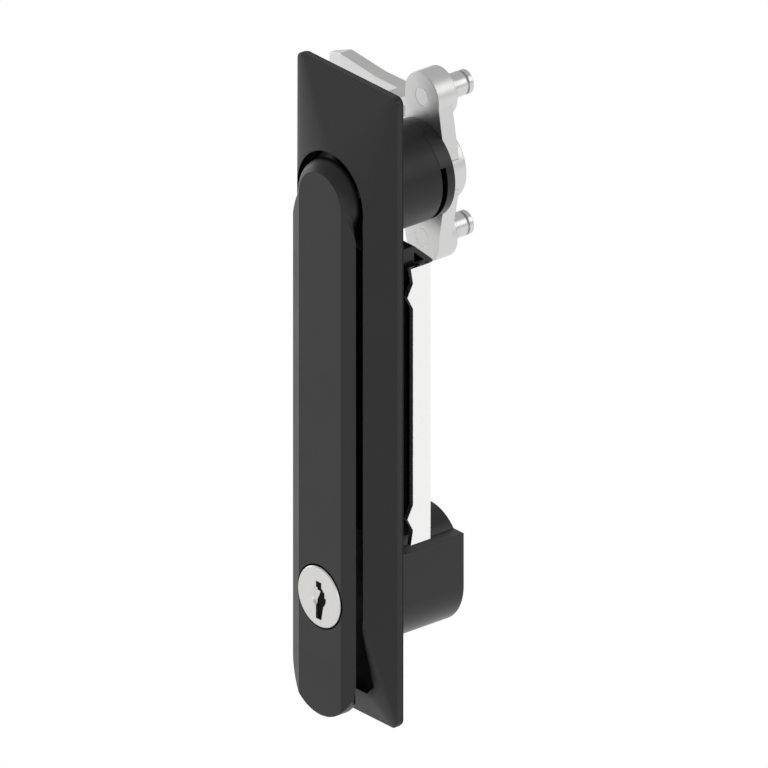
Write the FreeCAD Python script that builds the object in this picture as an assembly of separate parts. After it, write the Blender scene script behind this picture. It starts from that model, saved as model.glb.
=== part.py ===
"""A swing handle lock for a sheet-metal door, as separate solids.

Frame: X right seen from the front, Y into the door, Z up, millimetres.
The origin is the centre of the plate, on the door's front face.
"""

import math
import os

import FreeCAD, Part
from FreeCAD import Vector

# plate and gasket
PLATE_W = 38.0
PLATE_H = 170.0
PLATE_CORNER = 2.0
GASKET_T = 0.65
GASKET_INSET = 0.15
GASKET_BAND = 2.6
RIM_FRONT = 2.1
CREST_FRONT = 7.6
CREST_R = 12.55
CREST_LOW_Z = -55.2
APEX_FLAT = 0.1

# spindle axis and its seat
AXIS_Z = 53.1
RECESS_R = 12.5
RECESS_FLOOR = 1.65
BARREL_R = 12.75
BARREL_END = 17.66
BORE_R = 9.0
TAB_LENGTH = 1.7
TAB_FROM = 68.5
TAB_TO = 111.5

# trough, finger pocket and tub
TROUGH_HALF = 11.4
TUB_HALF = 12.75
TUB_BACK = 8.5
TUB_WALL = 1.2
TUB_TOP = 40.3
TUB_LOW = -37.3
TROUGH_LOW = -60.0
POCKET_LOW = -77.5
POCKET_HALF_TOP = 12.1
POCKET_HALF_LOW = 13.4
POCKET_FLOOR_TOP = 1.65
POCKET_FLOOR_LOW = 3.4

# handle
HANDLE_FRONT = 10.9
HANDLE_BACK = 7.9
HANDLE_HALF = 12.0
HANDLE_FLAT = 8.0
CHAMFER_DEPTH = 1.5
HANDLE_LOW_Z = -72.9
SHOULDER_Z = 45.9
HEAD_R = 10.7
HEAD_MID_R = 9.9
HEAD_BACK = 7.0

# lift pivot
PIVOT_Y = -4.6
PIVOT_Z = 56.0
LUG_R = 2.2
LUG_HALF = 4.0
EAR_GAP = 0.2
EAR_OUT = 7.2
PIN_R = 1.1
PIVOT_GAP = 0.06

# key plug
PLUG_Z = -53.1
PLUG_R = 8.0
PLUG_PROUD = 0.4
PLUG_RING_GAP = 0.45
PLUG_LAND = 1.0
RUN_GAP = 0.05
KEY_SLOT_W = 2.1
KEY_SLOT_UP = 4.1
KEY_SLOT_DOWN = 5.95
KEY_SLOT_DEPTH = 2.6
COUNTERSINK_R = 2.8
COUNTERSINK_DEPTH = 0.5

# spindle train behind the door
SHAFT_R = 8.0
O_RING_CORD = 0.45
O_RING_GROOVE = 0.9
O_RING_WIDTH = 1.2
O_RING_Y = 1.0
HEAD_DISC_GAP = 0.5
HEAD_DISC_R = RECESS_R - HEAD_DISC_GAP
HEAD_DISC_T = 1.1
WASHER_T = 0.4
SQUARE = 10.0
RING_R = 12.7
RING_T = 2.35
LUG_FROM = 22.0
LUG_TO = 68.0
CAM_T = 4.3
CAM_BOSS_R = 6.4
PIN_REACH = 19.0
CAM_SIDE = 9.7
HUB_R = 9.8
HUB_RISE = 1.65
TONGUE_SEAT = 2.0

# rod pins
ROD_SHOULDER_R = 4.0
ROD_SHOULDER_T = 2.3
ROD_R = 3.15
ROD_LENGTH = 5.7
ROD_GROOVE = 0.65
ROD_GROOVE_TIP = 1.2
ROD_SHANK_R = 2.4

# tongue
TONGUE_T = 4.2
RISER_NEAR = -18.0
RISER_FAR = -22.9
TONGUE_BACK = 37.5
NOSE_BEND = -32.0
NOSE_CORNER = -47.2
NOSE_TIP = -54.5
NOSE_DROP = 1.4
NOSE_SHOULDER_HALF = 7.2
NOSE_END_HALF = 3.6
NOSE_CUT = 0.9

# end screw
SCREW_R = 5.0
SCREW_HEAD = 1.9
SOCKET_REACH = 2.3
SOCKET_FLOOR = 0.5
SCREW_SHANK_R = 2.5
SCREW_DEPTH = 9.0
END_WASHER_R = 6.4
END_WASHER_T = 1.2

# clamp bracket
BRACKET_HALF = 15.5
BRACKET_T = 1.3
CLAMP_BOSS_HEIGHT = 2.2
BRACKET_BACK = TUB_BACK + CLAMP_BOSS_HEIGHT + BRACKET_T
BRACKET_TOP = 35.9
BRACKET_LOW = -38.6
BRACKET_FRONT = 5.9
BASE_TOP = 34.1
BASE_LOW = -37.4
TOOTH_REACH = 1.8
TOOTH_HALF = 3.4
TEETH_Z = (28.5, -31.3)
BRACKET_SCREW_Z = 22.0
CLAMP_BOSS_R = 3.6
SMALL_HEAD_R = 3.4
SMALL_HEAD_T = 1.9
SMALL_SHANK_R = 1.5
SMALL_SHANK = 3.2

# lock housing
HOUSING_HALF = 12.75
HOUSING_LOW_Z = -56.2
HOUSING_TOP = -42.0
HOUSING_BACK = 24.4
HOUSING_NECK = 1.85
ROOF_R = 11.5
ROOF_Z = -49.3
NECK_INSET = 0.55
HOUSING_SCREW_X = 7.5
HOUSING_SCREW_Z = -52.0
HOUSING_SCREW_DEPTH = 8.0

# gusset loop at the top of the tub
LOOP_LOW = 34.3
LOOP_SHOULDER = (13.8, 35.6)
LOOP_TIP = (14.5, 34.8)
LOOP_TIP_LOW = 14.1
LOOP_HOLE_LOW = 35.7
LOOP_HOLE_TOP = 38.6
LOOP_HOLE_BACK = 11.6

Y = Vector(0, 1, 0)


def prism_y(points, y0, y1):
    """A solid from an outline of (x, z) points, between two depths."""
    corners = [Vector(x, y0, z) for x, z in points]
    face = Part.Face(Part.makePolygon(corners + corners[:1]))
    return face.extrude(Vector(0, y1 - y0, 0))


def prism_x(points, half):
    """A solid from an outline of (y, z) points, across the width."""
    corners = [Vector(-half, y, z) for y, z in points]
    face = Part.Face(Part.makePolygon(corners + corners[:1]))
    return face.extrude(Vector(2 * half, 0, 0))


def round_y(radius, y0, y1, z=AXIS_Z, x=0.0):
    """A cylinder along the depth."""
    return Part.makeCylinder(radius, y1 - y0, Vector(x, y0, z), Y)


def box(x0, x1, y0, y1, z0, z1):
    """A box between two corners."""
    return Part.makeBox(x1 - x0, y1 - y0, z1 - z0, Vector(x0, y0, z0))


def sector(r0, r1, y0, y1, a0, a1):
    """A ring piece round the spindle axis between two angles from +X up."""
    ring = round_y(r1, y0, y1).cut(round_y(r0, y0, y1))
    reach = 2 * r1
    points = [(0.0, AXIS_Z)]
    for angle in (a0, (a0 + a1) / 2, a1):
        turn = math.radians(angle)
        points.append((reach * math.cos(turn), AXIS_Z + reach * math.sin(turn)))
    return ring.common(prism_y(points, y0, y1))


def rounded_wire(half_w, z_low, z_top, radius, y):
    """A rounded rectangle in eight edges, starting with its top edge."""
    k = radius * (1 - math.sqrt(0.5))

    def at(x, z):
        return Vector(x, y, z)

    a, r = half_w, radius
    edges = [
        Part.LineSegment(at(-a + r, z_top), at(a - r, z_top)),
        Part.Arc(at(a - r, z_top), at(a - k, z_top - k), at(a, z_top - r)),
        Part.LineSegment(at(a, z_top - r), at(a, z_low + r)),
        Part.Arc(at(a, z_low + r), at(a - k, z_low + k), at(a - r, z_low)),
        Part.LineSegment(at(a - r, z_low), at(-a + r, z_low)),
        Part.Arc(at(-a + r, z_low), at(-a + k, z_low + k), at(-a, z_low + r)),
        Part.LineSegment(at(-a, z_low + r), at(-a, z_top - r)),
        Part.Arc(at(-a, z_top - r), at(-a + k, z_top - k), at(-a + r, z_top)),
    ]
    return Part.Wire([edge.toShape() for edge in edges])


def plate_block():
    """The plate's rim and the hull from it to the raised stadium crest."""
    half_h = PLATE_H / 2
    back = rounded_wire(PLATE_W / 2, -half_h, half_h, PLATE_CORNER, -GASKET_T)
    rim = Part.Face(back).extrude(Vector(0, GASKET_T - RIM_FRONT, 0))
    low = rounded_wire(PLATE_W / 2, -half_h, half_h, PLATE_CORNER, -RIM_FRONT)
    top_z = AXIS_Z + CREST_R
    low_z = CREST_LOW_Z - CREST_R
    crest = rounded_wire(CREST_R, low_z, top_z, CREST_R - APEX_FLAT, -CREST_FRONT)
    hull = Part.makeLoft([low, crest], True, True)
    return rim.fuse(hull)


def finger_pocket():
    """The space cut for the fingertips, with a floor that rises downward."""
    plan = prism_y(
        [
            (-POCKET_HALF_TOP, TROUGH_LOW),
            (POCKET_HALF_TOP, TROUGH_LOW),
            (POCKET_HALF_LOW, POCKET_LOW + 3.0),
            (POCKET_HALF_LOW - 3.0, POCKET_LOW),
            (-POCKET_HALF_LOW + 3.0, POCKET_LOW),
            (-POCKET_HALF_LOW, POCKET_LOW + 3.0),
        ],
        -HANDLE_FRONT,
        0.0,
    )
    side = prism_x(
        [
            (-HANDLE_FRONT, TROUGH_LOW),
            (-POCKET_FLOOR_TOP, TROUGH_LOW),
            (-POCKET_FLOOR_LOW, POCKET_LOW),
            (-HANDLE_FRONT, POCKET_LOW),
        ],
        PLATE_W,
    )
    return plan.common(side)


def gusset_loop():
    """The hollow wedge at the top of the tub, open to both sides."""
    outer = prism_x(
        [(TUB_BACK, TUB_TOP), LOOP_SHOULDER, LOOP_TIP, (LOOP_TIP_LOW, LOOP_LOW),
         (TUB_BACK, LOOP_LOW)],
        TUB_HALF,
    )
    inner = prism_x(
        [(TUB_BACK, LOOP_HOLE_TOP), (LOOP_HOLE_BACK, LOOP_HOLE_LOW), (TUB_BACK, LOOP_HOLE_LOW)],
        TUB_HALF,
    )
    return outer.cut(inner)


def make_dish():
    """The plate, the head recess, the trough and what passes the door."""
    solid = plate_block()
    solid = solid.fuse(box(-TUB_HALF, TUB_HALF, -RIM_FRONT, TUB_BACK, TUB_LOW, TUB_TOP))
    solid = solid.fuse(round_y(BARREL_R, -RIM_FRONT, BARREL_END))
    tab_end = BARREL_END + TAB_LENGTH
    tab = sector(BORE_R + 1.5, BARREL_R, BARREL_END, tab_end, TAB_FROM, TAB_TO)
    solid = solid.fuse(tab).fuse(gusset_loop())
    for z in (BRACKET_SCREW_Z, -BRACKET_SCREW_Z):
        boss = round_y(CLAMP_BOSS_R, TUB_BACK, BRACKET_BACK - BRACKET_T, z)
        solid = solid.fuse(boss)
    solid = solid.cut(round_y(RECESS_R, -HANDLE_FRONT, -RECESS_FLOOR))
    trough_top = AXIS_Z - RECESS_R - TUB_WALL
    lip = box(-POCKET_HALF_TOP, POCKET_HALF_TOP, -HANDLE_FRONT, -CREST_FRONT + 1.0,
              TROUGH_LOW, AXIS_Z)
    shallow = box(-TROUGH_HALF, TROUGH_HALF, -HANDLE_FRONT, -RECESS_FLOOR,
                  TROUGH_LOW, AXIS_Z)
    deep = box(-TROUGH_HALF, TROUGH_HALF, -RECESS_FLOOR, TUB_BACK - TUB_WALL,
               TUB_LOW + TUB_WALL, trough_top)
    solid = solid.cut(lip.fuse(shallow)).cut(deep).cut(finger_pocket())
    solid = solid.cut(round_y(BORE_R, -HANDLE_FRONT, BARREL_END + TAB_LENGTH))
    for z in (BRACKET_SCREW_Z, -BRACKET_SCREW_Z):
        depth = BRACKET_BACK - SMALL_SHANK
        solid = solid.cut(round_y(SMALL_SHANK_R, depth, BRACKET_BACK, z))
    return solid.removeSplitter()


def make_gasket():
    """The flat seal behind the rim."""
    a = PLATE_W / 2 - GASKET_INSET
    h = PLATE_H / 2 - GASKET_INSET
    outer = Part.Face(rounded_wire(a, -h, h, PLATE_CORNER, -GASKET_T))
    inner_a = a - GASKET_BAND
    inner_h = h - GASKET_BAND
    inner = Part.Face(rounded_wire(inner_a, -inner_h, inner_h, 1.0, -GASKET_T))
    return outer.cut(inner).extrude(Vector(0, GASKET_T, 0))


def make_handle():
    """The lever: a chamfered bar, a tapered shoulder, a domed head and its lug."""
    edge = -HANDLE_FRONT + CHAMFER_DEPTH

    def section(z, half, mid, flat):
        pts = [
            Vector(-half, -HANDLE_BACK, z),
            Vector(-mid, edge, z),
            Vector(-flat, -HANDLE_FRONT, z),
            Vector(flat, -HANDLE_FRONT, z),
            Vector(mid, edge, z),
            Vector(half, -HANDLE_BACK, z),
        ]
        return Part.makePolygon(pts + pts[:1])

    low_end = HANDLE_LOW_Z - HANDLE_HALF
    bar_face = Part.Face(section(low_end, HANDLE_HALF, HANDLE_HALF, HANDLE_FLAT))
    bar = bar_face.extrude(Vector(0, 0, SHOULDER_Z - low_end))
    outline = round_y(HANDLE_HALF, -HANDLE_FRONT, -HANDLE_BACK, HANDLE_LOW_Z)
    outline = outline.fuse(
        box(-HANDLE_HALF, HANDLE_HALF, -HANDLE_FRONT, -HANDLE_BACK, HANDLE_LOW_Z, SHOULDER_Z)
    )
    bar = bar.common(outline)
    low = section(SHOULDER_Z, HANDLE_HALF, HANDLE_HALF, HANDLE_FLAT)
    high = section(AXIS_Z, HEAD_R - 0.3, HEAD_MID_R, HANDLE_FLAT)
    shoulder = Part.makeLoft([low, high], True, True)

    def at(r, y):
        return Vector(r, y, AXIS_Z)

    profile = Part.Wire([
        Part.LineSegment(at(0, -HANDLE_FRONT), at(HANDLE_FLAT, -HANDLE_FRONT)).toShape(),
        Part.Arc(at(HANDLE_FLAT, -HANDLE_FRONT), at(HEAD_MID_R, edge),
                 at(HEAD_R, -HEAD_BACK)).toShape(),
        Part.LineSegment(at(HEAD_R, -HEAD_BACK), at(0, -HEAD_BACK)).toShape(),
        Part.LineSegment(at(0, -HEAD_BACK), at(0, -HANDLE_FRONT)).toShape(),
    ])
    head = Part.Face(profile).revolve(at(0, 0), Vector(0, -1, 0), 180)
    lug = Part.makeCylinder(LUG_R, 2 * LUG_HALF, Vector(-LUG_HALF, PIVOT_Y, PIVOT_Z),
                            Vector(1, 0, 0))
    stem = box(-LUG_HALF, LUG_HALF, -HEAD_BACK - 0.5, PIVOT_Y,
               PIVOT_Z - LUG_R, PIVOT_Z + LUG_R)
    solid = bar.fuse(shoulder).fuse(head).fuse(stem).fuse(lug)
    hole = Part.makeCylinder(PIN_R + PIVOT_GAP, 2 * EAR_OUT,
                             Vector(-EAR_OUT, PIVOT_Y, PIVOT_Z), Vector(1, 0, 0))
    solid = solid.cut(hole)
    land = -HANDLE_BACK - PLUG_LAND
    wide = round_y(PLUG_R + PLUG_RING_GAP, -HANDLE_FRONT, land, PLUG_Z)
    close = round_y(PLUG_R + RUN_GAP, -HANDLE_FRONT, -HANDLE_BACK, PLUG_Z)
    return solid.cut(wide).cut(close).removeSplitter()


def make_plug():
    """The key plug's face, with a countersunk, warded key slot."""
    face = -HANDLE_FRONT - PLUG_PROUD
    solid = round_y(PLUG_R, face, -HANDLE_BACK, PLUG_Z)
    solid = solid.makeChamfer(0.25, [e for e in solid.Edges
                                     if abs(e.CenterOfMass.y - face) < 0.01])
    sink = Part.makeCone(COUNTERSINK_R, COUNTERSINK_R - COUNTERSINK_DEPTH,
                         COUNTERSINK_DEPTH, Vector(0, face, PLUG_Z), Y)
    half = KEY_SLOT_W / 2
    deep = face + KEY_SLOT_DEPTH
    shift = 0.6
    upper = prism_y(
        [(-half, PLUG_Z + 1.5), (half, PLUG_Z + 1.5), (half, PLUG_Z + KEY_SLOT_UP),
         (-half, PLUG_Z + KEY_SLOT_UP)], face, deep)
    middle = prism_y(
        [(-half + shift, PLUG_Z), (half + shift, PLUG_Z - 0.6),
         (half + shift, PLUG_Z + 1.5), (-half + 2 * shift, PLUG_Z + 1.5)], face, deep)
    lower = prism_y(
        [(-half, PLUG_Z - KEY_SLOT_DOWN), (half, PLUG_Z - KEY_SLOT_DOWN),
         (half + 2 * shift, PLUG_Z), (-half + shift, PLUG_Z + 0.1),
         (-half, PLUG_Z - 1.2)], face, deep)
    return solid.cut(sink).cut(upper.fuse(middle).fuse(lower))


DISC_BACK = -RECESS_FLOOR - WASHER_T - RUN_GAP
DISC_FRONT = DISC_BACK - HEAD_DISC_T
RING_FRONT = BARREL_END + TAB_LENGTH + RUN_GAP
CAM_FRONT = RING_FRONT + RING_T
CAM_BACK = CAM_FRONT + CAM_T
HUB_BACK = CAM_BACK + HUB_RISE
TONGUE_FRONT = CAM_FRONT + TONGUE_SEAT


def square_shaft(y0, y1, size=SQUARE):
    """The square drive on the spindle axis."""
    half = size / 2
    return box(-half, half, y0, y1, AXIS_Z - half, AXIS_Z + half)


def make_spindle():
    """The turning shaft: a disc with two ears in front, a square behind."""
    disc = round_y(HEAD_DISC_R, DISC_FRONT, DISC_BACK)
    shaft = round_y(SHAFT_R, DISC_BACK, RING_FRONT)
    solid = disc.fuse(shaft)
    ear_in = LUG_HALF + EAR_GAP
    for side in (-1, 1):
        x0 = min(side * ear_in, side * EAR_OUT)
        x1 = max(side * ear_in, side * EAR_OUT)
        ear = Part.makeCylinder(LUG_R, x1 - x0, Vector(x0, PIVOT_Y, PIVOT_Z),
                                Vector(1, 0, 0))
        foot = box(x0, x1, PIVOT_Y, DISC_BACK, PIVOT_Z - LUG_R, PIVOT_Z + LUG_R)
        solid = solid.fuse(ear).fuse(foot)
    room = LUG_R + 0.4
    solid = solid.cut(box(-ear_in, ear_in, PIVOT_Y, PIVOT_Y + room,
                          PIVOT_Z - room, PIVOT_Z + room))
    pin = Part.makeCylinder(PIN_R, 2 * EAR_OUT, Vector(-EAR_OUT, PIVOT_Y, PIVOT_Z),
                            Vector(1, 0, 0))
    solid = solid.cut(pin)
    solid = solid.fuse(square_shaft(RING_FRONT, HUB_BACK))
    tapped = round_y(SCREW_SHANK_R, HUB_BACK - SCREW_DEPTH, HUB_BACK)
    groove_end = O_RING_Y + O_RING_WIDTH
    groove = round_y(SHAFT_R, O_RING_Y, groove_end)
    groove = groove.cut(round_y(SHAFT_R - O_RING_GROOVE, O_RING_Y, groove_end))
    return solid.cut(tapped).cut(groove).removeSplitter()


def make_o_ring():
    """The seal in the shaft's groove."""
    groove_r = SHAFT_R - O_RING_GROOVE
    middle = O_RING_Y + O_RING_WIDTH / 2
    return Part.makeTorus(groove_r + O_RING_CORD, O_RING_CORD, Vector(0, middle, AXIS_Z), Y)


def make_bush():
    """The plain bearing between the shaft and the barrel."""
    outer = round_y(BORE_R, -RECESS_FLOOR, BARREL_END)
    return outer.cut(round_y(SHAFT_R + RUN_GAP, -RECESS_FLOOR, BARREL_END))


def make_thrust_washer():
    """The flat washer under the spindle's disc."""
    outer = round_y(HEAD_DISC_R - 0.2, -RECESS_FLOOR - WASHER_T, -RECESS_FLOOR)
    return outer.cut(round_y(BORE_R + 0.2, -RECESS_FLOOR - WASHER_T, -RECESS_FLOOR))


def make_stop_ring():
    """The ring that turns with the shaft and stops on the barrel's tab."""
    solid = round_y(RING_R, RING_FRONT, CAM_FRONT)
    lug = sector(BORE_R + 1.5, RING_R, BARREL_END + RUN_GAP, RING_FRONT, LUG_FROM, LUG_TO)
    return solid.fuse(lug).cut(square_shaft(RING_FRONT, CAM_FRONT)).removeSplitter()


def cam_outline(y0, y1):
    """Two bosses joined by a plate with a straight side and a pointed side."""
    up = AXIS_Z + PIN_REACH
    down = AXIS_Z - PIN_REACH
    rise = PIN_REACH
    run = CAM_SIDE
    length = math.hypot(rise, run)
    lean = math.atan2(run, rise) + math.acos(CAM_BOSS_R / length)
    tangent_z = CAM_BOSS_R * math.cos(lean)
    tangent_x = CAM_BOSS_R * math.sin(lean)
    plate = prism_y(
        [(-CAM_BOSS_R, down), (0, down), (tangent_x, down + abs(tangent_z)),
         (CAM_SIDE, AXIS_Z), (tangent_x, up - abs(tangent_z)), (0, up),
         (-CAM_BOSS_R, up)], y0, y1)
    solid = plate.fuse(round_y(CAM_BOSS_R, y0, y1, up))
    return solid.fuse(round_y(CAM_BOSS_R, y0, y1, down))


def tongue_hub(y0, y1):
    """The tongue's seat on the cam: a half-round hub and a straight root."""
    root = box(RISER_FAR, 0, y0, y1, AXIS_Z - HUB_R, AXIS_Z + HUB_R)
    return root.fuse(round_y(HUB_R, y0, y1))


def make_drive_cam():
    """The cast cam that carries the rod pins and the tongue."""
    solid = cam_outline(CAM_FRONT, CAM_BACK)
    for z in (AXIS_Z - PIN_REACH, AXIS_Z + PIN_REACH):
        solid = solid.fuse(round_y(CAM_BOSS_R, CAM_BACK, HUB_BACK, z))
        solid = solid.cut(round_y(ROD_SHANK_R, CAM_FRONT, HUB_BACK, z))
    solid = solid.cut(tongue_hub(TONGUE_FRONT, HUB_BACK))
    return solid.cut(square_shaft(CAM_FRONT, HUB_BACK)).removeSplitter()


def make_rod_pin(z):
    """A shouldered pin for one lock rod, riveted through the cam."""
    seat = HUB_BACK + ROD_SHOULDER_T
    tip = seat + ROD_LENGTH
    solid = round_y(ROD_SHANK_R, CAM_FRONT, HUB_BACK, z)
    solid = solid.fuse(round_y(ROD_SHOULDER_R, HUB_BACK, seat, z))
    solid = solid.fuse(round_y(ROD_R, seat, tip, z))
    groove_back = tip - ROD_GROOVE_TIP
    groove = round_y(ROD_R, groove_back - ROD_GROOVE, groove_back, z)
    core = round_y(ROD_R - 0.6, groove_back - ROD_GROOVE, groove_back, z)
    return solid.cut(groove.cut(core))


def make_tongue():
    """The cranked tongue that goes behind the door frame."""
    front = TONGUE_BACK - TONGUE_T
    bend_back = TONGUE_BACK - 0.4
    nose_back = bend_back + 1.75
    side = [
        (RISER_NEAR, HUB_BACK), (RISER_NEAR, TONGUE_BACK), (NOSE_BEND, bend_back),
        (NOSE_CORNER, nose_back), (NOSE_TIP, nose_back + 0.6),
        (NOSE_TIP + 0.6, nose_back - NOSE_DROP), (NOSE_CORNER, front + 1.9),
        (NOSE_BEND, front), (RISER_FAR, front), (RISER_FAR, TONGUE_FRONT),
        (RISER_NEAR, TONGUE_FRONT),
    ]
    corners = [Vector(x, y, AXIS_Z - HUB_R) for x, y in side]
    crank = Part.Face(Part.makePolygon(corners + corners[:1]))
    crank = crank.extrude(Vector(0, 0, 2 * HUB_R))
    plan = prism_y(
        [(RISER_NEAR, AXIS_Z - HUB_R), (RISER_NEAR, AXIS_Z + HUB_R),
         (NOSE_CORNER, AXIS_Z + HUB_R), (NOSE_TIP + NOSE_CUT, AXIS_Z + NOSE_SHOULDER_HALF),
         (NOSE_TIP, AXIS_Z + NOSE_END_HALF), (NOSE_TIP, AXIS_Z - NOSE_END_HALF),
         (NOSE_TIP + NOSE_CUT, AXIS_Z - NOSE_SHOULDER_HALF), (NOSE_CORNER, AXIS_Z - HUB_R)],
        0, 2 * TONGUE_BACK)
    solid = tongue_hub(TONGUE_FRONT, HUB_BACK).fuse(crank.common(plan))
    return solid.cut(square_shaft(TONGUE_FRONT, HUB_BACK)).removeSplitter()


def make_end_washer():
    """The washer that keeps the cam and the tongue on the square."""
    solid = round_y(END_WASHER_R, HUB_BACK, HUB_BACK + END_WASHER_T)
    return solid.cut(round_y(SCREW_SHANK_R, HUB_BACK, HUB_BACK + END_WASHER_T))


def make_end_screw():
    """The hexagon socket screw in the end of the shaft."""
    seat = HUB_BACK + END_WASHER_T
    head = round_y(SCREW_R, seat, seat + SCREW_HEAD)
    shank = round_y(SCREW_SHANK_R, HUB_BACK - SCREW_DEPTH, seat)
    hexagon = [(SOCKET_REACH * math.cos(math.radians(60 * i)),
                AXIS_Z + SOCKET_REACH * math.sin(math.radians(60 * i))) for i in range(6)]
    socket = prism_y(hexagon, seat + SOCKET_FLOOR, seat + SCREW_HEAD)
    return head.fuse(shank).cut(socket).removeSplitter()


def make_hinge_pin():
    """The cross pin that the handle lifts on."""
    return Part.makeCylinder(PIN_R, 2 * EAR_OUT, Vector(-EAR_OUT, PIVOT_Y, PIVOT_Z),
                             Vector(1, 0, 0))


def make_clamp_bracket():
    """The U-shaped clamp that pulls the plate to the door, with biting teeth."""
    outline = [(BRACKET_BACK, BRACKET_LOW), (BRACKET_BACK, BRACKET_TOP),
               (BRACKET_FRONT - 0.7, BRACKET_TOP)]
    for z in TEETH_Z:
        outline.append((BRACKET_FRONT, z + TOOTH_HALF))
        outline.append((BRACKET_FRONT - TOOTH_REACH, z))
        outline.append((BRACKET_FRONT, z - TOOTH_HALF))
    outline.append((BRACKET_FRONT - 0.7, BRACKET_LOW))
    solid = prism_x(outline, BRACKET_HALF)
    inner = BRACKET_HALF - BRACKET_T
    floor = BRACKET_BACK - BRACKET_T
    solid = solid.cut(box(-inner, inner, 0, floor, BRACKET_LOW, BRACKET_TOP))
    solid = solid.cut(box(-inner, inner, floor, BRACKET_BACK, BASE_TOP, BRACKET_TOP))
    solid = solid.cut(box(-inner, inner, floor, BRACKET_BACK, BRACKET_LOW, BASE_LOW))
    bends = [e for e in solid.Edges if abs(e.CenterOfMass.y - BRACKET_BACK) < 0.01
             and abs(abs(e.CenterOfMass.x) - BRACKET_HALF) < 0.01]
    solid = solid.makeFillet(BRACKET_T * 0.75, bends)
    for z in (BRACKET_SCREW_Z, -BRACKET_SCREW_Z):
        solid = solid.cut(round_y(SMALL_SHANK_R, floor, BRACKET_BACK, z))
    return solid


def pan_screw(x, y, z, shank):
    """A small screw whose head sits at the depth y."""
    head = round_y(SMALL_HEAD_R, y, y + SMALL_HEAD_T, z, x)
    rim = [e for e in head.Edges if abs(e.CenterOfMass.y - y - SMALL_HEAD_T) < 0.01]
    head = head.makeFillet(0.9, rim)
    solid = head.fuse(round_y(SMALL_SHANK_R, y - shank, y, z, x))
    arm, width = 1.6, 0.4
    deep = y + SMALL_HEAD_T - 1.1
    cross = box(x - arm, x + arm, deep, y + SMALL_HEAD_T, z - width, z + width)
    cross = cross.fuse(box(x - width, x + width, deep, y + SMALL_HEAD_T, z - arm, z + arm))
    return solid.cut(cross)


def make_lock_housing():
    """The closed case behind the key plug, with an arched roof over a ledge."""
    front = -GASKET_T
    neck_end = front + HOUSING_NECK

    def case(inset, y0, y1):
        half = HOUSING_HALF - inset
        solid = box(-half, half, y0, y1, HOUSING_LOW_Z, HOUSING_TOP - inset)
        solid = solid.fuse(round_y(half, y0, y1, HOUSING_LOW_Z))
        return solid.fuse(round_y(ROOF_R - inset, y0, y1, ROOF_Z))

    solid = case(NECK_INSET, front, neck_end).fuse(case(0.0, neck_end, HOUSING_BACK))
    for x in (-HOUSING_SCREW_X, HOUSING_SCREW_X):
        solid = solid.cut(round_y(SMALL_SHANK_R, HOUSING_BACK - HOUSING_SCREW_DEPTH, HOUSING_BACK,
                                  HOUSING_SCREW_Z, x))
    return solid.removeSplitter()


def make_bracket_screws():
    """The pair that holds the clamp bracket to the tub."""
    return Part.makeCompound(
        [pan_screw(0, BRACKET_BACK, z, SMALL_SHANK) for z in (BRACKET_SCREW_Z, -BRACKET_SCREW_Z)])


def make_housing_screws():
    """The pair in the back of the lock housing."""
    return Part.makeCompound(
        [pan_screw(x, HOUSING_BACK, HOUSING_SCREW_Z, HOUSING_SCREW_DEPTH)
         for x in (-HOUSING_SCREW_X, HOUSING_SCREW_X)])


NODES = {
    "dish": make_dish(),
    "gasket": make_gasket(),
    "bearing_bush": make_bush(),
    "thrust_washer": make_thrust_washer(),
    "clamp_bracket": make_clamp_bracket(),
    "bracket_screws": make_bracket_screws(),
    "lock_housing": make_lock_housing(),
    "housing_screws": make_housing_screws(),
    "spindle": make_spindle(),
    "o_ring": make_o_ring(),
    "stop_ring": make_stop_ring(),
    "drive_cam": make_drive_cam(),
    "rod_pin_upper": make_rod_pin(AXIS_Z + PIN_REACH),
    "rod_pin_lower": make_rod_pin(AXIS_Z - PIN_REACH),
    "tongue": make_tongue(),
    "end_washer": make_end_washer(),
    "end_screw": make_end_screw(),
    "hinge_pin": make_hinge_pin(),
    "handle": make_handle(),
    "lock_plug": make_plug(),
}

os.makedirs("parts", exist_ok=True)
for name, shape in NODES.items():
    shape.exportStep("parts/" + name + ".step")
    print(name, shape.isValid(), len(shape.Solids), round(shape.Volume, 1))
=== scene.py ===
"""Looks of a swing handle lock: finishes, a finer lever, studio light and camera."""

import math

import bmesh
import bpy
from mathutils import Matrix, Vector


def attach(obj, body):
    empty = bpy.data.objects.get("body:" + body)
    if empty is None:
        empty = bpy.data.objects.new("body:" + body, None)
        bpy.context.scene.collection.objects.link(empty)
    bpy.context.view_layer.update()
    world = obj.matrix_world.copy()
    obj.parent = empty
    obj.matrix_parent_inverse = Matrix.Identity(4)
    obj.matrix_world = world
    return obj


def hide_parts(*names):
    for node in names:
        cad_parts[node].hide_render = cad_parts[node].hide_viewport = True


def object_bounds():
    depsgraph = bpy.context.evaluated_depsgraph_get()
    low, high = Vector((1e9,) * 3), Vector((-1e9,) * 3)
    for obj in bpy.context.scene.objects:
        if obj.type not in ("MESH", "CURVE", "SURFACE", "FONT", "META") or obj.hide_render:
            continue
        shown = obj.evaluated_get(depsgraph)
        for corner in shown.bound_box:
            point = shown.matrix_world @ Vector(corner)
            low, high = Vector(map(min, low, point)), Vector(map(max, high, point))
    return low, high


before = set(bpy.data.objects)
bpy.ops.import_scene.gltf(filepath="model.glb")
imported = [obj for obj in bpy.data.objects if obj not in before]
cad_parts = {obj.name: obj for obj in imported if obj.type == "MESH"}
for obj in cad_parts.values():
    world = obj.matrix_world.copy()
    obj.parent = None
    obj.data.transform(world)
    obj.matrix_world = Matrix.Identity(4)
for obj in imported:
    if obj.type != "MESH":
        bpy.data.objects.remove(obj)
cad_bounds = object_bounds()

MM = 0.001

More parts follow.
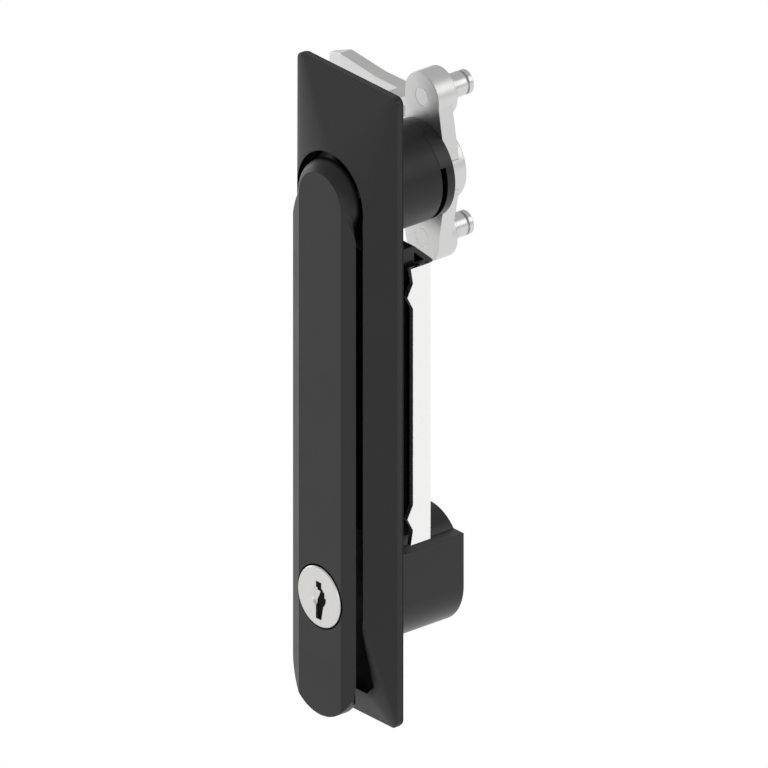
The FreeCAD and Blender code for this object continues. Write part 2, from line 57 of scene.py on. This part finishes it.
# the photograph's view, as an orthographic camera, in metres
VIEW_AZIMUTH = math.radians(50.0)
VIEW_ELEVATION = math.radians(25.0)
PIXELS_PER_MM = 4.087
PHOTO_SIDE = 768
AIM = Vector((0.004433, 0.005895, 0.000843))
CAMERA_DISTANCE = 0.9
CAMERA_CLIP = (0.01, 20.0)

# surroundings: the world's strengths and the floor's, and each soft box's place, side and power
FILL_LIGHT = 0.5
CEILING_LIGHT = 0.55
FLOOR_GLOW = 0.95
FLOOR_GAP = 0.0004
FLOOR_HALF = 6.0
SOFT_BOXES = {
    "left_box": ((-1.0, -0.15, -0.02), 0.6, 2.0),
    "low_box": ((0.5, -0.9, 0.05), 0.5, 0.8),
    "back_box": ((0.9, 0.7, 0.7), 0.8, 2.0),
}

# finishes: the span that the textures' noise fills, and the samples of a softened edge
MASK_LOW = 0.3
MASK_HIGH = 0.7
EDGE_SAMPLES = 6

# the lever, in millimetres: half widths, depths in front of the door, and places in CAD's Y and Z
LEVER_FRONT = 10.9
LEVER_EDGE = 9.4
LEVER_BACK = 7.9
LEVER_HALF = 12.0
LEVER_FLAT = 8.0
LEVER_UNDERCUT = 10.0
LEVER_LOW_Z = -72.9
LEVER_SHOULDER_Z = 45.9
HEAD_Z = 53.1
HEAD_R = 10.7
HEAD_MID_R = 9.9
HEAD_BACK = 7.0
HEAD_SWELL = (10.3, 9.9)
LUG_HALF = 4.0
LUG_R = 2.2
LUG_Y = -4.6
LUG_Z = 56.0
PLUG_Z = -53.1
PLUG_HOLE_R = 8.45

# the plug's axis, in metres, that its polishing rings run round
PLUG_AXIS = (0.0, 0.0, PLUG_Z * MM)

# the lever's mesh: rows along it, steps across its head, and sides of its round cuts
END_ROWS = 24
SHOULDER_ROWS = 10
HEAD_ROWS = 36
HEAD_SHARES = (0.0, 0.0, 0.25, 0.5, 0.625, 0.75, 0.875, 1.0)
HOLE_SIDES = 96
LUG_SIDES = 32

# how far a cutter reaches past the lever in millimetres, the angle from which an edge stays
# sharp, and the distance in metres within which points are welded
CUT_PAST = 2.0
CREASE = math.radians(14.0)
WELD = 1e-6

# a near-black fill in the key slot as painted shade for its unlit inside, in millimetres: its
# depths, and outlines round the plug's axis
KEYWAY_FACE = 11.3
KEYWAY_SUNK = 0.7
KEYWAY_FLOOR = 8.8
KEYWAY_LAYER = 0.01
KEYWAY_OUTLINES = [
    [(-1.04, 1.5), (1.04, 1.5), (1.04, 4.09), (-1.04, 4.09)],
    [(-0.44, 0.0), (1.64, -0.59), (1.64, 1.49), (0.16, 1.49)],
    [(-1.04, -5.94), (1.04, -5.94), (2.24, 0.0), (-0.44, 0.09), (-1.04, -1.2)],
]


def add_node(tree, kind, values=None, **settings):
    """Adds a node, sets its plain properties and its sockets' values."""
    node = tree.nodes.new(kind)
    for key, value in settings.items():
        setattr(node, key, value)
    for socket, value in (values or {}).items():
        node.inputs[socket].default_value = value
    return node


def new_group(name, inputs, outputs):
    """An empty node group with named float, colour or vector sockets."""
    tree = bpy.data.node_groups.new(name, "ShaderNodeTree")
    kinds = {"f": "NodeSocketFloat", "c": "NodeSocketColor", "v": "NodeSocketVector"}
    for label, kind, value in inputs:
        socket = tree.interface.new_socket(name=label, in_out="INPUT", socket_type=kinds[kind])
        if value is not None:
            socket.default_value = value
    for label, kind in outputs:
        tree.interface.new_socket(name=label, in_out="OUTPUT", socket_type=kinds[kind])
    return tree, tree.nodes.new("NodeGroupInput"), tree.nodes.new("NodeGroupOutput")


def coat_texture_group():
    """The fine dimpled skin of a baked powder coat, with slow cloudy variation."""
    tree, given, result = new_group(
        "coat_texture",
        [("Dimple Scale", "f", 2200.0), ("Cloud Scale", "f", 60.0)],
        [("Height", "f"), ("Cloud", "f")],
    )
    where = add_node(tree, "ShaderNodeTexCoord")
    dimple = add_node(tree, "ShaderNodeTexNoise", {"Detail": 3.0, "Roughness": 0.55})
    cloud = add_node(tree, "ShaderNodeTexNoise", {"Detail": 4.0, "Roughness": 0.6})
    link = tree.links.new
    link(where.outputs["Object"], dimple.inputs["Vector"])
    link(where.outputs["Object"], cloud.inputs["Vector"])
    link(given.outputs["Dimple Scale"], dimple.inputs["Scale"])
    link(given.outputs["Cloud Scale"], cloud.inputs["Scale"])
    link(dimple.outputs["Fac"], result.inputs["Height"])
    link(cloud.outputs["Fac"], result.inputs["Cloud"])
    return tree


def streak_group():
    """Fine drawn lines on rolled or brushed metal, long along one direction."""
    tree, given, result = new_group(
        "drawn_streaks", [("Stretch", "v", (1800.0, 1800.0, 40.0))], [("Streak", "f")]
    )
    where = add_node(tree, "ShaderNodeTexCoord")
    stretched = add_node(tree, "ShaderNodeVectorMath", operation="MULTIPLY")
    noise = add_node(tree, "ShaderNodeTexNoise", {"Scale": 1.0, "Detail": 3.0})
    link = tree.links.new
    link(where.outputs["Object"], stretched.inputs[0])
    link(given.outputs["Stretch"], stretched.inputs[1])
    link(stretched.outputs["Vector"], noise.inputs["Vector"])
    link(noise.outputs["Fac"], result.inputs["Streak"])
    return tree


def turned_rings_group():
    """Faint rings that a lathe or a polishing wheel leaves round an axis along Y."""
    tree, given, result = new_group(
        "turned_rings", [("Centre", "v", (0.0, 0.0, 0.0)), ("Pitch", "f", 9000.0)], [("Ring", "f")]
    )
    where = add_node(tree, "ShaderNodeTexCoord")
    offset = add_node(tree, "ShaderNodeVectorMath", operation="SUBTRACT")
    flat = add_node(tree, "ShaderNodeVectorMath", operation="MULTIPLY")
    flat.inputs[1].default_value = (1.0, 0.0, 1.0)
    radius = add_node(tree, "ShaderNodeVectorMath", operation="LENGTH")
    rings = add_node(tree, "ShaderNodeTexNoise", {"Detail": 2.0}, noise_dimensions="1D")
    link = tree.links.new
    link(where.outputs["Object"], offset.inputs[0])
    link(given.outputs["Centre"], offset.inputs[1])
    link(offset.outputs["Vector"], flat.inputs[0])
    link(flat.outputs["Vector"], radius.inputs[0])
    link(radius.outputs["Value"], rings.inputs["W"])
    link(given.outputs["Pitch"], rings.inputs["Scale"])
    link(rings.outputs["Fac"], result.inputs["Ring"])
    return tree


COAT_TEXTURE = coat_texture_group()
DRAWN_STREAKS = streak_group()
TURNED_RINGS = turned_rings_group()


def spread(tree, mask, low, high):
    """Maps a mask to a range of values."""
    node = add_node(
        tree, "ShaderNodeMapRange",
        {"From Min": MASK_LOW, "From Max": MASK_HIGH, "To Min": low, "To Max": high},
    )
    tree.links.new(mask, node.inputs["Value"])
    return node.outputs["Result"]


def tint(tree, mask, dark, light):
    """Mixes two colours by a mask; the mix node's colour sockets go by number."""
    node = add_node(tree, "ShaderNodeMix", data_type="RGBA")
    node.inputs[6].default_value = (*dark, 1.0)
    node.inputs[7].default_value = (*light, 1.0)
    tree.links.new(mask, node.inputs["Factor"])
    return node.outputs[2]


def finish_material(name, colours, roughness, metallic, group, mask_name, height_name,
                    bump, edge_round, settings=None, group_values=None):
    """A finish whose colour, gloss and bump follow one of the texture groups."""
    material = bpy.data.materials.new(name)
    material.use_nodes = True
    tree = material.node_tree
    shader = tree.nodes["Principled BSDF"]
    shader.inputs["Metallic"].default_value = metallic
    for socket, value in (settings or {}).items():
        shader.inputs[socket].default_value = value
    texture = add_node(tree, "ShaderNodeGroup")
    texture.node_tree = group
    for socket, value in (group_values or {}).items():
        texture.inputs[socket].default_value = value
    link = tree.links.new
    mask = texture.outputs[mask_name]
    link(tint(tree, mask, *colours), shader.inputs["Base Color"])
    link(spread(tree, mask, *roughness), shader.inputs["Roughness"])
    soft_edge = add_node(tree, "ShaderNodeBevel", {"Radius": edge_round}, samples=EDGE_SAMPLES)
    relief = add_node(tree, "ShaderNodeBump", {"Strength": bump[0], "Distance": bump[1]})
    link(texture.outputs[height_name], relief.inputs["Height"])
    link(soft_edge.outputs["Normal"], relief.inputs["Normal"])
    link(relief.outputs["Normal"], shader.inputs["Normal"])
    return material


def black_powder_coat():
    """Matt black baked coat on the plate and lever."""
    return finish_material(
        "black_powder_coat", ((0.0035, 0.0035, 0.0038), (0.0060, 0.0060, 0.0063)), (0.36, 0.44),
        0.0, COAT_TEXTURE, "Cloud", "Height", (0.35, 0.00008), 0.00025,
        {"Specular IOR Level": 0.46},
    )


def black_barrel_coat():
    """Thinner, glossier coat on the barrel, ring and lock case."""
    return finish_material(
        "black_barrel_coat", ((0.0030, 0.0030, 0.0033), (0.0050, 0.0050, 0.0053)), (0.28, 0.36),
        0.0, COAT_TEXTURE, "Cloud", "Height", (0.25, 0.00006), 0.0003,
        {"Specular IOR Level": 0.5},
    )


def seal_rubber():
    """Dull black rubber."""
    return finish_material(
        "seal_rubber", ((0.012, 0.012, 0.012), (0.02, 0.02, 0.02)), (0.75, 0.85),
        0.0, COAT_TEXTURE, "Cloud", "Height", (0.4, 0.0001), 0.0001,
        None, {"Dimple Scale": 1500.0},
    )


def bearing_plastic():
    """Black moulded plastic."""
    return finish_material(
        "bearing_plastic", ((0.02, 0.02, 0.02), (0.03, 0.03, 0.03)), (0.5, 0.6),
        0.0, COAT_TEXTURE, "Cloud", "Height", (0.2, 0.00005), 0.0001,
    )


def cast_zinc():
    """Satin zinc-plated casting with a fine grain."""
    return finish_material(
        "cast_zinc", ((0.66, 0.66, 0.66), (0.78, 0.78, 0.77)), (0.30, 0.42),
        1.0, COAT_TEXTURE, "Cloud", "Height", (0.3, 0.00006), 0.0003,
        None, {"Dimple Scale": 3000.0, "Cloud Scale": 120.0},
    )


def bright_zinc():
    """Bright zinc-plated sheet with drawn lines."""
    return finish_material(
        "bright_zinc", ((0.90, 0.90, 0.90), (0.97, 0.97, 0.96)), (0.20, 0.30),
        1.0, DRAWN_STREAKS, "Streak", "Streak", (0.12, 0.00003), 0.0003,
    )


def turned_steel():
    """Plated turned steel with faint tool rings along its axis."""
    return finish_material(
        "turned_steel", ((0.62, 0.62, 0.62), (0.76, 0.76, 0.76)), (0.22, 0.34),
        1.0, DRAWN_STREAKS, "Streak", "Streak", (0.12, 0.00003), 0.0002,
        None, {"Stretch": (60.0, 5000.0, 60.0)},
    )


def keyway_painted_shade():
    """Painted shade: a near-black finish for the unlit inside of the key slot."""
    return finish_material(
        "keyway_painted_shade", ((0.004, 0.004, 0.004), (0.009, 0.009, 0.009)), (0.6, 0.8),
        0.0, COAT_TEXTURE, "Cloud", "Height", (0.2, 0.00003), 0.00005,
        {"Specular IOR Level": 0.1},
    )


def satin_nickel():
    """Satin nickel on the key plug's face, polished in rings."""
    return finish_material(
        "satin_nickel", ((0.66, 0.655, 0.64), (0.76, 0.755, 0.74)), (0.26, 0.38),
        1.0, TURNED_RINGS, "Ring", "Ring", (0.12, 0.00003), 0.00015,
        None, {"Centre": PLUG_AXIS, "Pitch": 12000.0},
    )


FINISHES = {
    "coat": (black_powder_coat(), ["dish", "handle"]),
    "barrel": (black_barrel_coat(), ["stop_ring", "lock_housing", "spindle"]),
    "rubber": (seal_rubber(), ["gasket", "o_ring"]),
    "plastic": (bearing_plastic(), ["bearing_bush"]),
    "casting": (cast_zinc(), ["drive_cam", "tongue"]),
    "sheet": (bright_zinc(), ["clamp_bracket", "bracket_screws"]),
    "turned": (
        turned_steel(),
        ["thrust_washer", "housing_screws", "rod_pin_upper", "rod_pin_lower",
         "end_washer", "end_screw", "hinge_pin"],
    ),
    "nickel": (satin_nickel(), ["lock_plug"]),
}


def dress_nodes():
    """Gives every carried node its finish."""
    for material, names in FINISHES.values():
        for name in names:
            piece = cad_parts[name]
            piece.data.materials.clear()
            piece.data.materials.append(material)


def mix_points(a, b, share):
    """The point a share of the way from a to b."""
    return tuple(p + (q - p) * share for p, q in zip(a, b))


def side_profile(flat, cut, mid, back):
    """Eight (width, depth) points from the lever's flat face round to its back."""
    inner = [flat, cut, mix_points(cut, mid, 0.5), mid]
    return inner + [mix_points(mid, back, share) for share in (0.25, 0.5, 0.75, 1.0)]


def bar_profile(width):
    """The lever's side where its outline is this wide."""
    flat = (min(LEVER_FLAT, width), -LEVER_FRONT)
    slope = (LEVER_FRONT - LEVER_EDGE) / (LEVER_HALF - LEVER_FLAT)
    drop = max(width - LEVER_FLAT, 0.0) * slope
    cut = (width, -LEVER_FRONT + drop)
    return side_profile(flat, cut, (width, -LEVER_EDGE), (min(LEVER_UNDERCUT, width), -LEVER_BACK))


def shoulder_profile(share):
    """The lever's side between the chamfered bar and the head."""
    top = LEVER_HALF - (LEVER_HALF - LEVER_FLAT) * share
    mid = LEVER_HALF - (LEVER_HALF - HEAD_MID_R) * share
    chamfer = LEVER_HALF - LEVER_FLAT
    reach = (top - LEVER_FLAT) / (chamfer - mid + top)
    cut = (LEVER_FLAT + chamfer * reach, -LEVER_FRONT + (LEVER_FRONT - LEVER_EDGE) * reach)
    back_y = -LEVER_BACK + (LEVER_BACK - HEAD_BACK) * max(share * 2 - 1, 0.0)
    back = (LEVER_UNDERCUT + (HEAD_R - LEVER_UNDERCUT) * share, back_y)
    return side_profile((LEVER_FLAT, -LEVER_FRONT), cut, (mid, -LEVER_EDGE), back)


def head_profile():
    """The domed side of the lever's round head."""
    start = (LEVER_FLAT, -LEVER_FRONT)
    swell = (HEAD_SWELL[0], -HEAD_SWELL[1])
    end = (HEAD_R, -HEAD_BACK)
    points = []
    for share in HEAD_SHARES:
        toward_swell = mix_points(start, swell, share)
        past_swell = mix_points(swell, end, share)
        points.append(mix_points(toward_swell, past_swell, share))
    return points


def lever_rows():
    """Rows of points round the lever, up its right side, over the head and down."""
    right = []
    for i in range(END_ROWS + 1):
        turn = math.radians(90.0 * i / END_ROWS)
        width = LEVER_HALF * math.sin(turn)
        z = LEVER_LOW_Z - LEVER_HALF * math.cos(turn)
        right.append([(x, y, z) for x, y in bar_profile(width)])
    for i in range(SHOULDER_ROWS):
        share = i / SHOULDER_ROWS
        z = LEVER_SHOULDER_Z + (HEAD_Z - LEVER_SHOULDER_Z) * share
        right.append([(x, y, z) for x, y in shoulder_profile(share)])
    rows = list(right)
    for i in range(HEAD_ROWS + 1):
        turn = math.pi * i / HEAD_ROWS
        rows.append([(r * math.cos(turn), y, HEAD_Z + r * math.sin(turn))
                     for r, y in head_profile()])
    for row in reversed(right):
        rows.append([(-x, y, z) for x, y, z in row])
    return rows


def add_prism(bm, outline, low, high, along):
    """Adds a closed prism of (u, v) points to a mesh, along X or Y, in millimetres."""
    def place(u, v, w):
        return Vector((w, u, v) if along == "X" else (u, w, v)) * MM

    near = [bm.verts.new(place(u, v, low)) for u, v in outline]
    far = [bm.verts.new(place(u, v, high)) for u, v in outline]
    bm.faces.new(near)
    bm.faces.new(list(reversed(far)))
    for i in range(len(outline)):
        j = (i + 1) % len(outline)
        bm.faces.new((near[j], near[i], far[i], far[j]))


def mesh_piece(name, bm, material):
    """Finishes a mesh and returns it as an object with sharp creases kept."""
    bmesh.ops.recalc_face_normals(bm, faces=bm.faces)
    mesh = bpy.data.meshes.new(name)
    bm.to_mesh(mesh)
    bm.free()
    mesh.shade_smooth()
    mesh.set_sharp_from_angle(angle=CREASE)
    piece = bpy.data.objects.new(name, mesh)
    bpy.context.scene.collection.objects.link(piece)
    if material:
        mesh.materials.append(material)
    return piece


def circle_outline(radius, centre_u, centre_v, count):
    """Points round a circle."""
    turns = [2 * math.pi * i / count for i in range(count)]
    return [(centre_u + radius * math.cos(a), centre_v + radius * math.sin(a)) for a in turns]


def cut_round_hole(piece, radius, z):
    """Cuts the key plug's hole through the lever."""
    bm = bmesh.new()
    outline = circle_outline(radius, 0.0, z, HOLE_SIDES)
    add_prism(bm, outline, -LEVER_FRONT - CUT_PAST, -LEVER_BACK + CUT_PAST, "Y")
    cutter = mesh_piece("plug_hole_cutter", bm, None)
    cut = piece.modifiers.new("plug_hole", "BOOLEAN")
    cut.operation = "DIFFERENCE"
    cut.solver = "EXACT"
    cut.object = cutter
    graph = bpy.context.evaluated_depsgraph_get()
    result = bpy.data.meshes.new_from_object(piece.evaluated_get(graph))
    piece.modifiers.clear()
    piece.data = result
    bpy.data.objects.remove(cutter)


def lever_shell():
    """A closed mesh through the lever's rows, with its flat face and its back."""
    bm = bmesh.new()
    rows = [[bm.verts.new(Vector(point) * MM) for point in row] for row in lever_rows()]
    for row, following in zip(rows, rows[1:]):
        for i in range(len(row) - 1):
            bm.faces.new((row[i], row[i + 1], following[i + 1], following[i]))
    bm.faces.new([row[0] for row in rows])
    side_rows = END_ROWS + 1 + SHOULDER_ROWS
    last = len(rows) - 1
    for i in range(side_rows):
        bm.faces.new((rows[i][-1], rows[i + 1][-1], rows[last - i - 1][-1], rows[last - i][-1]))
    bm.faces.new([row[-1] for row in rows[side_rows:last + 1 - side_rows]])
    bmesh.ops.remove_doubles(bm, verts=bm.verts, dist=WELD)
    bmesh.ops.dissolve_degenerate(bm, edges=bm.edges, dist=WELD)
    return bm


def add_lug(lever):
    """Adds the round lug that carries the hinge pin, and its stem, behind the head."""
    bm = bmesh.new()
    bm.from_mesh(lever.data)
    add_prism(bm, circle_outline(LUG_R, LUG_Y, LUG_Z, LUG_SIDES), -LUG_HALF, LUG_HALF, "X")
    stem = [(-HEAD_BACK, LUG_Z - LUG_R), (LUG_Y, LUG_Z - LUG_R), (LUG_Y, LUG_Z + LUG_R),
            (-HEAD_BACK, LUG_Z + LUG_R)]
    add_prism(bm, stem, -LUG_HALF, LUG_HALF, "X")
    bmesh.ops.recalc_face_normals(bm, faces=bm.faces)
    bm.to_mesh(lever.data)
    bm.free()
    lever.data.set_sharp_from_angle(angle=CREASE)


def make_lever(material):
    """The lever with undercut sides, a cut shoulder and a domed head."""
    lever = mesh_piece("lever", lever_shell(), material)
    cut_round_hole(lever, PLUG_HOLE_R, PLUG_Z)
    add_lug(lever)
    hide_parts("handle")
    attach(lever, "handle")


def make_keyway_painted_shade(material):
    """A near-black fill sunk below the plug's face, as painted shade in the key slot."""
    bm = bmesh.new()
    front = -KEYWAY_FACE + KEYWAY_SUNK
    for number, points in enumerate(KEYWAY_OUTLINES):
        outline = [(x, z + PLUG_Z) for x, z in points]
        add_prism(bm, outline, front + KEYWAY_LAYER * number, -KEYWAY_FLOOR, "Y")
    # painted shade: a near-black solid fills the key slot where only shade falls
    keyway = mesh_piece("keyway", bm, material)
    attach(keyway, "plug")


def pale_floor():
    """A white floor that reflections see and the camera doesn't."""
    material = bpy.data.materials.new("pale_floor")
    material.use_nodes = True
    tree = material.node_tree
    shader = tree.nodes["Principled BSDF"]
    shader.inputs["Base Color"].default_value = (0.92, 0.92, 0.92, 1.0)
    shader.inputs["Roughness"].default_value = 0.9
    shader.inputs["Specular IOR Level"].default_value = 0.1
    glow = add_node(tree, "ShaderNodeEmission", {"Strength": 1.0})
    ray = add_node(tree, "ShaderNodeLightPath")
    share = add_node(tree, "ShaderNodeMath", operation="MULTIPLY")
    share.inputs[1].default_value = FLOOR_GLOW
    mix = add_node(tree, "ShaderNodeMixShader")
    link = tree.links.new
    link(ray.outputs["Is Glossy Ray"], share.inputs[0])
    link(share.outputs[0], mix.inputs["Fac"])
    link(shader.outputs["BSDF"], mix.inputs[1])
    link(glow.outputs["Emission"], mix.inputs[2])
    link(mix.outputs["Shader"], tree.nodes["Material Output"].inputs["Surface"])
    low = min(corner[2] for corner in cad_bounds)
    mesh = bpy.data.meshes.new("floor")
    signs = [(-1, -1), (1, -1), (1, 1), (-1, 1)]
    corners = [(x * FLOOR_HALF, y * FLOOR_HALF, low - FLOOR_GAP) for x, y in signs]
    mesh.from_pydata(corners, [], [(0, 1, 2, 3)])
    floor = bpy.data.objects.new("floor", mesh)
    floor.data.materials.append(material)
    bpy.context.scene.collection.objects.link(floor)
    floor.visible_camera = False


def studio_world():
    """White for the camera, a dimmer ceiling in reflections, and a softer fill light."""
    world = bpy.data.worlds.new("studio")
    bpy.context.scene.world = world
    world.use_nodes = True
    tree = world.node_tree
    fill = tree.nodes["Background"]
    fill.inputs["Strength"].default_value = FILL_LIGHT
    ceiling = add_node(tree, "ShaderNodeBackground", {"Strength": CEILING_LIGHT})
    white = add_node(tree, "ShaderNodeBackground", {"Strength": 1.0})
    for background in (fill, ceiling, white):
        background.inputs["Color"].default_value = (1.0, 1.0, 1.0, 1.0)
    ray = add_node(tree, "ShaderNodeLightPath")
    seen = add_node(tree, "ShaderNodeMath", operation="MAXIMUM")
    reflected = add_node(tree, "ShaderNodeMixShader")
    mix = add_node(tree, "ShaderNodeMixShader")
    link = tree.links.new
    link(ray.outputs["Is Glossy Ray"], reflected.inputs["Fac"])
    link(fill.outputs["Background"], reflected.inputs[1])
    link(ceiling.outputs["Background"], reflected.inputs[2])
    link(ray.outputs["Is Camera Ray"], seen.inputs[0])
    link(ray.outputs["Is Transmission Ray"], seen.inputs[1])
    link(seen.outputs[0], mix.inputs["Fac"])
    link(reflected.outputs["Shader"], mix.inputs[1])
    link(white.outputs["Background"], mix.inputs[2])
    link(mix.outputs["Shader"], tree.nodes["World Output"].inputs["Surface"])


def soft_lamp(name, place, side, power):
    """A square soft box that points at the object."""
    data = bpy.data.lights.new(name, "AREA")
    data.shape = "SQUARE"
    data.size = side
    data.energy = power
    lamp = bpy.data.objects.new(name, data)
    lamp.location = place
    lamp.rotation_euler = (AIM - Vector(place)).to_track_quat("-Z", "Y").to_euler()
    bpy.context.scene.collection.objects.link(lamp)


def photo_camera():
    """The camera at the photograph's angle and scale."""
    back = Vector((
        math.sin(VIEW_AZIMUTH) * math.cos(VIEW_ELEVATION),
        -math.cos(VIEW_AZIMUTH) * math.cos(VIEW_ELEVATION),
        math.sin(VIEW_ELEVATION),
    ))
    data = bpy.data.cameras.new("camera")
    data.type = "ORTHO"
    data.ortho_scale = PHOTO_SIDE / PIXELS_PER_MM * MM
    data.clip_start, data.clip_end = CAMERA_CLIP
    camera = bpy.data.objects.new("camera", data)
    camera.location = AIM + back * CAMERA_DISTANCE
    camera.rotation_euler = (-back).to_track_quat("-Z", "Y").to_euler()
    bpy.context.scene.collection.objects.link(camera)
    bpy.context.scene.camera = camera


bpy.context.scene.view_settings.view_transform = "Standard"
photo_camera()
dress_nodes()
make_lever(FINISHES["coat"][0])
# the key slot's painted shade
make_keyway_painted_shade(keyway_painted_shade())
pale_floor()
studio_world()
for box_name, (box_place, box_side, box_power) in SOFT_BOXES.items():
    soft_lamp(box_name, box_place, box_side, box_power)
